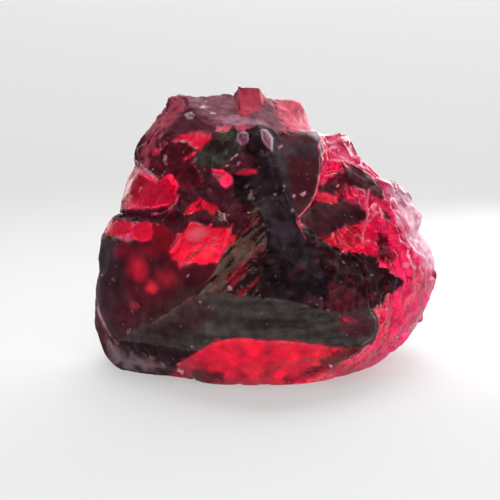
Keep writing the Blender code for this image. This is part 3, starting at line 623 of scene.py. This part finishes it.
class Cells:
    """Random points, one in each cube of a grid, and those around each point of the stone."""

    def __init__(self, points, size, seed, stretch=(1, 1, 1)):
        self.size = size
        self.random = np.random.default_rng(seed)
        scaled = points / np.array(stretch) / size
        scaled = scaled - scaled.min(0) + 1
        cube = np.floor(scaled).astype(int)
        self.shape = cube.max(0) + 2
        seeds = self.random.random((*self.shape, 3))
        self.around = []
        self.offsets = []
        for step in np.ndindex(3, 3, 3):
            neighbour = cube + step - 1
            index = tuple(neighbour.T)
            self.around.append(index)
            self.offsets.append(scaled - neighbour - seeds[index])

    def bowls(self):
        """For each cell around: the square of the distance to its point."""
        return np.array([(offset ** 2).sum(1) for offset in self.offsets])

    def sheets(self, tilt):
        """For each cell around: a tilted sheet through its point."""
        lifts = self.random.uniform(0, 0.3, self.shape)
        slopes = self.random.uniform(-tilt, tilt, (*self.shape, 3))
        pairs = zip(self.around, self.offsets)
        return np.array([lifts[index] + (offset * slopes[index]).sum(1) for index, offset in pairs])

    def bites(self, tilt, hollow=0.5):
        """Hollows that meet in sharp ridges, as glass breaks, in millimetres."""
        height = (self.sheets(tilt) + hollow * self.bowls()).min(0) * self.size
        return height - height.mean()

    def lumps(self, tilt=0.1, swell=0.6):
        """Rounded knobs with sharp clefts between them, in millimetres."""
        height = (self.sheets(tilt) - swell * self.bowls()).max(0) * self.size
        return height - height.mean()

    def values(self):
        """One random number from -1 to 1 for each cell."""
        numbers = self.random.uniform(-1, 1, self.shape)
        nearest = np.argmin(self.bowls(), axis=0)
        return np.array([numbers[index] for index in self.around])[nearest, np.arange(len(nearest))]


def fan_streaks(view):
    """How much straw and how much red each point of the fan shows, in streaks that run up to the right."""
    across = FAN_UP * view[:, X] + FAN_RIGHT * view[:, Y]
    along = FAN_RIGHT * view[:, X] - FAN_UP * view[:, Y]
    fine = streak_noise(across, 1.5, along, 11, 41)
    wide = streak_noise(across, 3.4, along, 22, 42)
    border = ramp(line_distance(view, FAN_BORDER), 16, 3)
    straw = ramp(fine + 0.5 * wide + 0.30 * border, 0.05, 0.30)
    red = ramp(wide - 0.4 * fine, 0.12, 0.30)
    return straw, red


def scoop_streaks(view):
    """Tone of the scoop's fine streaks, which follow its shallow arch."""
    arch = view[:, Y] + 0.0009 * (view[:, X] - VIEW_CENTRE) ** 2
    fine = streak_noise(view[:, X], 16, arch, 1.6, 43)
    wide = streak_noise(view[:, X], 40, arch, 6, 44)
    return 0.6 * fine + 0.9 * wide


# ---- the stone's mesh

def new_object(name, data):
    thing = bpy.data.objects.new(name, data)
    bpy.context.scene.collection.objects.link(thing)
    return thing


def read(items, kind, size=3):
    """One row of numbers for each of a mesh's vertices or faces."""
    values = np.empty(len(items) * size)
    items.foreach_get(kind, values)
    return values.reshape(-1, size)


def survey(mesh):
    """The mesh's points in the world, on the stone and in the front view, and how they face the viewer."""
    world = read(mesh.vertices, "co")
    points = to_stone(world)
    facing = read(mesh.vertices, "normal") @ np.array(TOWARD)
    return world, points, to_front_view(points), facing


def move_points(mesh, points):
    """Move the mesh's points here, but none below the floor, so that the foot stays flat."""
    points[:, 2] = np.maximum(points[:, 2], 0.0)
    mesh.vertices.foreach_set("co", points.ravel())
    mesh.update()


def rounded_mesh(node):
    """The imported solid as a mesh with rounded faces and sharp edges."""
    mesh = bmesh.new()
    mesh.from_mesh(node.data)
    bmesh.ops.remove_doubles(mesh, verts=mesh.verts[:], dist=SAME_POINT)
    bmesh.ops.dissolve_limit(mesh, angle_limit=FLAT_WITHIN, verts=mesh.verts[:], edges=mesh.edges[:])
    bmesh.ops.triangulate(mesh, faces=mesh.faces[:])
    bmesh.ops.join_triangles(
        mesh, faces=mesh.faces[:], angle_face_threshold=PAIRED_FACES_WITHIN,
        angle_shape_threshold=PAIRED_CORNERS_WITHIN)
    crease = mesh.edges.layers.float.new("crease_edge")
    for edge in mesh.edges:
        angle = edge.calc_face_angle(0.0)
        edge[crease] = min(1.0, max(0.0, (angle - CREASE_FROM) / (CREASE_FULL - CREASE_FROM)))
    coarse = bpy.data.meshes.new("stone_coarse")
    mesh.to_mesh(coarse)
    mesh.free()
    holder = new_object("stone_coarse", coarse)
    rounding = holder.modifiers.new("rounding", "SUBSURF")
    rounding.levels = REFINE_LEVELS
    rounding.render_levels = REFINE_LEVELS
    evaluated = holder.evaluated_get(bpy.context.evaluated_depsgraph_get())
    fine = bpy.data.meshes.new_from_object(evaluated)
    bpy.data.objects.remove(holder)
    bpy.data.meshes.remove(coarse)
    return fine


def refine_where_needed(mesh):
    """Cut the faces once more where the surface is finely broken or lies near a line, fleck or film edge."""
    view = to_front_view(to_stone(read(mesh.polygons, "center")))
    facing = read(mesh.polygons, "normal") @ np.array(TOWARD)
    areas = read(mesh.polygons, "area", 1)[:, 0]

    need = np.zeros(len(view))
    for *_, outline in ZONES:
        need += np.abs(inward_distance(view, outline)) < EDGE_REACH
    for name in FINELY_BROKEN:
        need += inward_distance(view, OUTLINES[name]) > -EDGE_REACH
    for *_, line in LINES:
        need += 2.0 * (line_distance(view, line) < LINE_REACH)
    for _, x, y, long, wide, turn in FLECKS:
        need += 2.0 * (oval_distance(view, x, y, long + FLECK_REACH, wide + FLECK_REACH, turn) > 0)
    need += (view[:, X] > RIGHT_SIDE_FROM) & (facing > RIGHT_SIDE_FACING)
    need *= np.clip(facing + 0.5, 0, 1) * np.sqrt(areas)
    chosen = np.argsort(-need, kind="stable")[:MOST_FACES_REFINED_AGAIN]
    chosen = set(chosen[need[chosen] > 0].tolist())

    fine = bmesh.new()
    fine.from_mesh(mesh)
    edges = {edge for face in fine.faces if face.index in chosen for edge in face.edges}
    bmesh.ops.subdivide_edges(fine, edges=list(edges), cuts=1, use_grid_fill=True)
    bmesh.ops.triangulate(fine, faces=[face for face in fine.faces if len(face.verts) > 4])
    fine.to_mesh(mesh)
    fine.free()


def step_surface(mesh):
    """Break the slopes into steps: their treads face forward on the front and backward on the back."""
    world, points, view, facing = survey(mesh)
    smooth = np.maximum(inside(view, 6, *SMOOTH_ZONES), FAR_RIGHT_SMOOTHNESS * in_box(view, "far_right"))
    smooth = np.maximum(smooth, WINDOW_SMOOTHNESS * inside(view, 8, "window", "window_low"))
    front = ramp(facing, *STEPS_FACING) * (1 - smooth) * in_box(view, "below_crown")
    front *= LEFT_STEP_SHARE + (RIGHT_STEP_SHARE - LEFT_STEP_SHARE) * in_box(view, "right_half")
    back = BACK_STEP_SHARE * ramp(-facing, *STEPS_FACING)
    above_foot = ramp(world[:, 2] / MM, *STEPS_ABOVE_FOOT_MM)
    level = points[:, 2] / STEP_MM + noise_layers(points, STEP_WANDER)
    part = level - np.floor(level)
    shift = (ramp(part, *STEP_RISER) - part) * STEP_MM * (front + back) * above_foot
    move_points(mesh, world + np.outer(shift, TOWARD) * MM)


def relief_weights(view, facing):
    """How much each point belongs to each of the places in RELIEF."""
    front = ramp(facing, *RELIEF_FACING)
    weights = {name: inside(view, *place) * front for name, place in BROKEN_PLACES.items()}
    cheek = in_box(view, "cheek") * front * (1 - inside(view, 6, "scoop"))
    weights["cheek"] = cheek * (1 - weights["point"]) * (1 - weights["window"])
    weights["low_band"] = in_box(view, "low_band") * front * (1 - inside(view, 4, "scoop"))
    crust = np.maximum(inside(view, 10, "crust"), in_box(view, "knobbly_rim"))
    weights["crust"] = crust * ramp(facing, *CRUST_FACING)
    weights["crown"] = in_box(view, "crown") * ramp(facing, *CROWN_FACING)
    weights["bulge"] = in_box(view, "bulge") * front
    weights["back"] = ramp(facing, *BACK_FACING)
    return weights


def break_surface(mesh):
    """Push the surface in and out along its normal, each place in its own way (all in millimetres)."""
    world, points, view, facing = survey(mesh)
    front = ramp(facing, *RELIEF_FACING)

    breaks = np.array([
        Cells(points, size=1.7, seed=10).bites(tilt=0.25),
        Cells(points, size=0.95, seed=11).bites(tilt=0.35),
        Cells(points, size=0.42, seed=12).bites(tilt=0.45),
        Cells(points, size=0.5, seed=15, stretch=(2.2, 1, 1)).bites(tilt=0.5),
        Cells(points, size=0.75, seed=13).lumps(),
        Cells(points, size=0.38, seed=14).lumps(),
    ])
    height = noise_layers(points, SWELL)
    for name, weight in relief_weights(view, facing).items():
        height += weight * (np.array(RELIEF[name]) @ breaks)

    straw, red = fan_streaks(view)
    height += inside(view, 4, "fan") * front * (STRAW_STREAK_RISE * straw + RED_STREAK_RISE * red)
    height += inside(view, 4, "scoop") * front * SCOOP_STREAK_RISE * scoop_streaks(view)
    height += inside(view, 3, "cap_pit") * front * PIT_RISE
    for half_width, _, rise, line in LINES:
        height += rise * front * ramp(line_distance(view, line), 2 * half_width + 0.8, 0)
    for _, *oval in FLECKS:
        height += FLECK_RISE * front * ramp(oval_distance(view, *oval), -0.1, 0.4)
    for outline in CRYSTALS:
        height += CRYSTAL_RISE * front * ramp(inward_distance(view, outline), -0.8, 0.8)

    above_foot = ramp(world[:, 2] / MM, *RELIEF_ABOVE_FOOT_MM)
    move_points(mesh, world + read(mesh.vertices, "normal") * (height * above_foot * MM)[:, None])


# ---- film and frost

def write_weight(mesh, name, values):
    layer = mesh.attributes.new(name, "FLOAT", "POINT")
    layer.data.foreach_set("value", np.clip(values, 0, 1).astype(np.float32))


def write_colour(mesh, name, values):
    layer = mesh.attributes.new(name, "FLOAT_COLOR", "POINT")
    rgba = np.pad(values, ((0, 0), (0, 1)), constant_values=1)
    layer.data.foreach_set("color", rgba.astype(np.float32).ravel())


class FilmAndPaintedLight:
    """The film's density and colour, with its painted shade and glows, at each point, laid one zone over
    another.
    """

    def __init__(self, count):
        self.density = np.zeros(count)
        self.colour = np.ones((count, 3))

    def lay(self, weight, density, tone):
        """Lay a film over what is there. Along its edge the denser of the two keeps its tone."""
        denser = density > self.density
        share = np.where(denser, 1 - (1 - weight) ** 4, weight ** 4)[:, None]
        self.density = self.density * (1 - weight) + density * weight
        self.colour = self.colour * (1 - share) + np.array(tone) * share

    def glow(self, weight, density, tone):
        """Let density and colour pass softly into those of a painted glow or glint."""
        self.density += (density - self.density) * weight
        self.colour += (np.array(tone) - self.colour) * weight[:, None]


def lay_film_and_painted_light(mesh):
    """Write how dense the film, with its painted shade and glows, is at each point, and its colour."""
    _, points, view, facing = survey(mesh)
    front = ramp(facing, *FILM_FACING)
    rag = noise_layers(points, RAGGED_EDGES)
    cloud = noise_layers(points, CLOUDS)
    grain = Cells(points, size=0.30, seed=21).values()

    film_and_painted_light = FilmAndPaintedLight(len(view))
    for _, density, tone, soft, ragged, cloudy, outline in ZONES:
        overlap = OPAQUE_OVERLAP if density >= OPAQUE_FROM else 0.0
        depth = inward_distance(view, outline) + overlap + ragged * rag
        weight = ramp(depth, -soft / 2, soft / 2) * front
        film_and_painted_light.lay(weight, np.clip(density + cloudy * cloud, 0, 1), tone)

    # Round the side, the frosted crust thins out to clearer stone, with a red painted glow laid over it.
    side = inside(view, 14, "crust") * ramp(facing, *SIDE_FACING) * front
    film_and_painted_light.glow(0.8 * side, 0.26, RIM_RED)
    # The painted glows and glints.
    for tone, density, *oval in PAINTED_GLOWS:
        depth = oval_distance(view, *oval) + 0.15 * cloud
        film_and_painted_light.glow(ramp(depth, 0, 0.9) * front, density, tone)

    # Streaks: straw and red ones in the fan, fine pale ones along the scoop.
    fan = inside(view, 5, "fan") * front
    straw, red = fan_streaks(view)
    film_and_painted_light.lay(fan * straw, 0.95, STRAW)
    film_and_painted_light.lay(fan * red * (1 - straw), 0.55, GARNET_SHADE)
    film_and_painted_light.colour *= (1 + inside(view, 5, "scoop") * front * 0.9 * scoop_streaks(view))[:, None]

    # The broken places vary from facet to facet, with blotches of maroon and a few glimpses of red, partly
    # painted glints where the film thins.
    varied = inside(view, 4, *VARIED_ZONES)
    film_and_painted_light.colour *= (1 + varied * (0.5 * grain + 0.8 * cloud))[:, None]
    film_and_painted_light.lay(varied * ramp(cloud + 0.35 * grain, 0.30, 0.60) * front * 0.45, 0.75, MAROON)
    crown = inside(view, 6, "crown", "cap") * (1 - inside(view, 6, "crown_ridge")) * front
    film_and_painted_light.lay(crown * ramp(cloud + 0.3 * grain, 0.10, 0.45) * 0.8, 0.85, CROWN_DARK)
    edge = inside(view, 16, "point", "black_break") * (1 - inside(view, 6, "scoop", "core"))
    film_and_painted_light.lay(edge * ramp(grain + rag, 0.78, 1.00) * front * 0.4, 0.30, CRIMSON)

    for half_width, tone, _, line in LINES:
        weight = ramp(line_distance(view, line), 1.6 * half_width, 0.4 * half_width)
        film_and_painted_light.lay(weight * front * (0.75 + 0.5 * rag), 0.80, tone)
    for outline in CRYSTALS:
        depth = inward_distance(view, outline) + 1.2 * rag
        film_and_painted_light.lay(ramp(depth, -1.0, 0.0) * front, 0.85, PALE_MAUVE)
        film_and_painted_light.lay(ramp(depth, 0.6, 1.8) * front, 0.75, LILAC_DARK)
    chipped = noise_layers(points, CHIPPED_EDGES)
    for tone, *oval in FLECKS:
        depth = oval_distance(view, *oval) + chipped
        film_and_painted_light.lay(ramp(depth, -0.1, 0.4) * front * 0.75, 0.85, tone)

    write_weight(mesh, "film_and_painted_light", film_and_painted_light.density)
    write_colour(mesh, "film_and_painted_light_colour", film_and_painted_light.colour)


def frost_surface(mesh):
    """Write how frosted and how gritty the surface is at each point."""
    _, _, view, facing = survey(mesh)
    front = ramp(facing, *FILM_FACING)
    crown = in_box(view, "crown_film")

    frost = BARE_ROUGHNESS + 0.25 * crown * (1 - 0.8 * inside(view, 6, "chip", "hump"))
    for low, high, *place in FROST:
        frost = np.maximum(frost, low + (high - low) * inside(view, *place))
    frost = np.maximum(frost, BARE_ROUGHNESS + 0.18 * in_box(view, "frosted_rim"))
    frost = np.maximum(frost, BACK_ROUGHNESS * ramp(facing, *BACK_FROST_FACING))
    write_weight(mesh, "frost", frost)

    grit = np.maximum(BARE_GRIT, 0.5 * crown)
    for strength, *place in GRIT:
        grit = np.maximum(grit, strength * inside(view, *place))
    grit *= 1 - 0.85 * inside(view, 8, "chip", "hump")
    write_weight(mesh, "grit", grit * front + BACK_GRIT * (1 - front))


# ---- materials

def feed(tree, node, inputs):
    """Set each of these inputs of a node to its value, or link it to its socket."""
    for name, source in inputs.items():
        if isinstance(source, bpy.types.NodeSocket):
            tree.links.new(source, node.inputs[name])
        else:
            node.inputs[name].default_value = source


def add_node(tree, kind, inputs, output, **settings):
    """Add a shader node with these settings and inputs, and give back one of its outputs."""
    node = tree.nodes.new("ShaderNode" + kind)
    for name, value in settings.items():
        setattr(node, name, value)
    feed(tree, node, inputs)
    return node.outputs[output]


def add_range(tree, source, start, end, low, high, shape="LINEAR"):
    """Turn start to end of the source into low to high."""
    inputs = {"Value": source, "From Min": start, "From Max": end, "To Min": low, "To Max": high}
    return add_node(tree, "MapRange", inputs, "Result", interpolation_type=shape)


def add_maths(tree, operation, *sources):
    """Reckon with sockets and plain numbers."""
    return add_node(tree, "Math", dict(enumerate(sources)), "Value", operation=operation)


def new_material(name):
    material = bpy.data.materials.new(name)
    material.use_nodes = True
    return material, material.node_tree, material.node_tree.nodes["Principled BSDF"]


def film_tone(tree, place, colour):
    """The film's colour with its mottling, and with fine pale specks in some cells of a random net."""
    mottle = add_node(tree, "TexNoise", {"Vector": place, "Scale": MOTTLE_SCALE, "Detail": 4}, "Fac")
    level = add_range(tree, mottle, 0.3, 0.7, 0.55, 1.6)
    mottled = add_node(tree, "VectorMath", {0: colour, "Scale": level}, "Vector", operation="SCALE")

    net = tree.nodes.new("ShaderNodeTexVoronoi")
    feed(tree, net, {"Vector": place, "Scale": SPECK_SCALE})
    near = add_range(tree, net.outputs["Distance"], 0.16, 0.06, 0.0, 1.0)
    chance = add_node(tree, "SeparateColor", {"Color": net.outputs["Color"]}, "Red")
    chosen = add_range(tree, chance, 0.60, 1.0, 0.0, 0.8)
    speck = add_maths(tree, "MULTIPLY", near, chosen)
    inputs = {"Factor": speck, "A": mottled, "B": PALE_MAUVE + (1,)}
    return add_node(tree, "Mix", inputs, "Result", data_type="RGBA")


def garnet_material():
    """Clear red stone. Where the film lies, with its painted shade and glows, it takes the place of
    transmission.
    """
    material, tree, shader = new_material("garnet")
    film_and_painted_light = add_node(tree, "Attribute", {}, "Fac", attribute_name="film_and_painted_light")
    colour = add_node(tree, "Attribute", {}, "Color", attribute_name="film_and_painted_light_colour")
    frost = add_node(tree, "Attribute", {}, "Fac", attribute_name="frost")
    grit = add_node(tree, "Attribute", {}, "Fac", attribute_name="grit")
    place = add_node(tree, "TexCoord", {}, "Object")

    tones = {"Factor": film_and_painted_light, "A": colour, "B": film_tone(tree, place, colour)}
    pattern = {"Vector": place, "Scale": GRAIN_SCALE, "Detail": 4, "Roughness": 0.65, "Distortion": 0.8}
    grain = add_node(tree, "TexNoise", pattern, "Fac")
    relief = {"Distance": GRAIN_MM * MM, "Strength": grit, "Height": grain}
    shader.inputs["Transmission Weight"].default_value = 1.0
    feed(tree, shader, {
        "IOR": GARNET_IOR,
        "Specular IOR Level": REFLECTION_LEVEL,
        "Specular Tint": REFLECTION_TINT,
        "Base Color": add_node(tree, "Mix", tones, "Result", data_type="RGBA"),
        "Transmission Weight": add_maths(tree, "SUBTRACT", 1.0, film_and_painted_light),
        "Roughness": add_maths(tree, "MULTIPLY_ADD", film_and_painted_light, FILM_ROUGHNESS, frost),
        "Normal": add_node(tree, "Bump", relief, "Normal"),
    })

    strongest = max(ABSORPTION_PER_MM) / MOST_ABSORBED
    absorbed = {
        "Color": tuple(1 - rate / strongest for rate in ABSORPTION_PER_MM) + (1.0,),
        "Density": strongest / MM,
    }
    volume = add_node(tree, "VolumeAbsorption", absorbed, "Volume")
    feed(tree, tree.nodes["Material Output"], {"Volume": volume})
    return material


def floor_material():
    """Pale paper, with painted light of its own: pools that fade with the distance from two places on it,
    round the stone and behind it to the right.
    """
    material, tree, shader = new_material("pale_floor")
    place = add_node(tree, "TexCoord", {}, "Object")
    painted_pools = []
    for middle, *fade in FLOOR_PAINTED_LIGHT:
        away = add_node(tree, "VectorMath", {0: place, 1: middle}, "Value", operation="DISTANCE")
        painted_pools.append(add_range(tree, away, *fade, shape="SMOOTHSTEP"))
    feed(tree, shader, {
        "Base Color": FLOOR_TONE,
        "Roughness": 0.9,
        "Specular IOR Level": 0.1,
        "Emission Color": (1, 1, 1, 1),
        "Emission Strength": add_maths(tree, "ADD", *painted_pools),
    })
    return material


# ---- the scene

def make_stone():
    mesh = rounded_mesh(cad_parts["rough_garnet"])
    refine_where_needed(mesh)
    step_surface(mesh)
    break_surface(mesh)
    lay_film_and_painted_light(mesh)
    frost_surface(mesh)
    for face in mesh.polygons:
        face.use_smooth = True
    mesh.set_sharp_from_angle(angle=SHARP_FROM)
    mesh.materials.clear()
    mesh.materials.append(garnet_material())
    mesh.name = "garnet_stone"
    stone = new_object("garnet_stone", mesh)
    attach(stone, "root")
    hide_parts("rough_garnet")


def make_floor():
    half = FLOOR_HALF
    corners = [(-half, -half, 0), (half, -half, 0), (half, half, 0), (-half, half, 0)]
    mesh = bpy.data.meshes.new("floor")
    mesh.from_pydata(corners, [], [(0, 1, 2, 3)])
    mesh.materials.append(floor_material())
    floor = new_object("floor", mesh)


def make_camera():
    lens = bpy.data.cameras.new("camera")
    lens.lens = LENS_MM
    lens.sensor_width = SENSOR_MM
    lens.clip_start = 0.001
    lens.clip_end = 50
    camera = new_object("camera", lens)
    camera.location = MIDDLE + TOWARD * VIEW_MM * MM
    camera.rotation_mode = "QUATERNION"
    camera.rotation_quaternion = (-TOWARD).to_track_quat("-Z", "Y")
    bpy.context.scene.camera = camera


def make_world():
    """Soft studio: a bright wall and two windows behind the stone, two lights above, a dim viewer's side."""
    world = bpy.data.worlds.new("studio")
    bpy.context.scene.world = world
    world.use_nodes = True
    tree = world.node_tree
    place = add_node(tree, "TexCoord", {}, "Generated")

    def lobe(direction, *fade):
        """Light that grows toward one direction."""
        ways = {0: place, 1: Vector(direction).normalized()}
        cosine = add_node(tree, "VectorMath", ways, "Value", operation="DOT_PRODUCT")
        return add_range(tree, cosine, *fade, shape="SMOOTHSTEP")

    total = lobe(*WALL)
    for light in (FRONT_LIGHT, TOP_LIGHT, WINDOW, SIDE_WINDOW):
        total = add_maths(tree, "ADD", total, lobe(*light))
    seen = add_node(tree, "LightPath", {}, "Is Camera Ray")
    levels = {"Factor": seen, "A": total, "B": BACKDROP_LEVEL}
    strength = add_node(tree, "Mix", levels, "Result", data_type="FLOAT")
    feed(tree, tree.nodes["Background"], {"Color": STUDIO_WHITE, "Strength": strength})


make_stone()
make_floor()
make_camera()
make_world()
scene = bpy.context.scene
scene.view_settings.view_transform = "Standard"
scene.cycles.max_bounces = 16
scene.cycles.transmission_bounces = 16
scene.cycles.glossy_bounces = 8

bpy.context.view_layer.update()
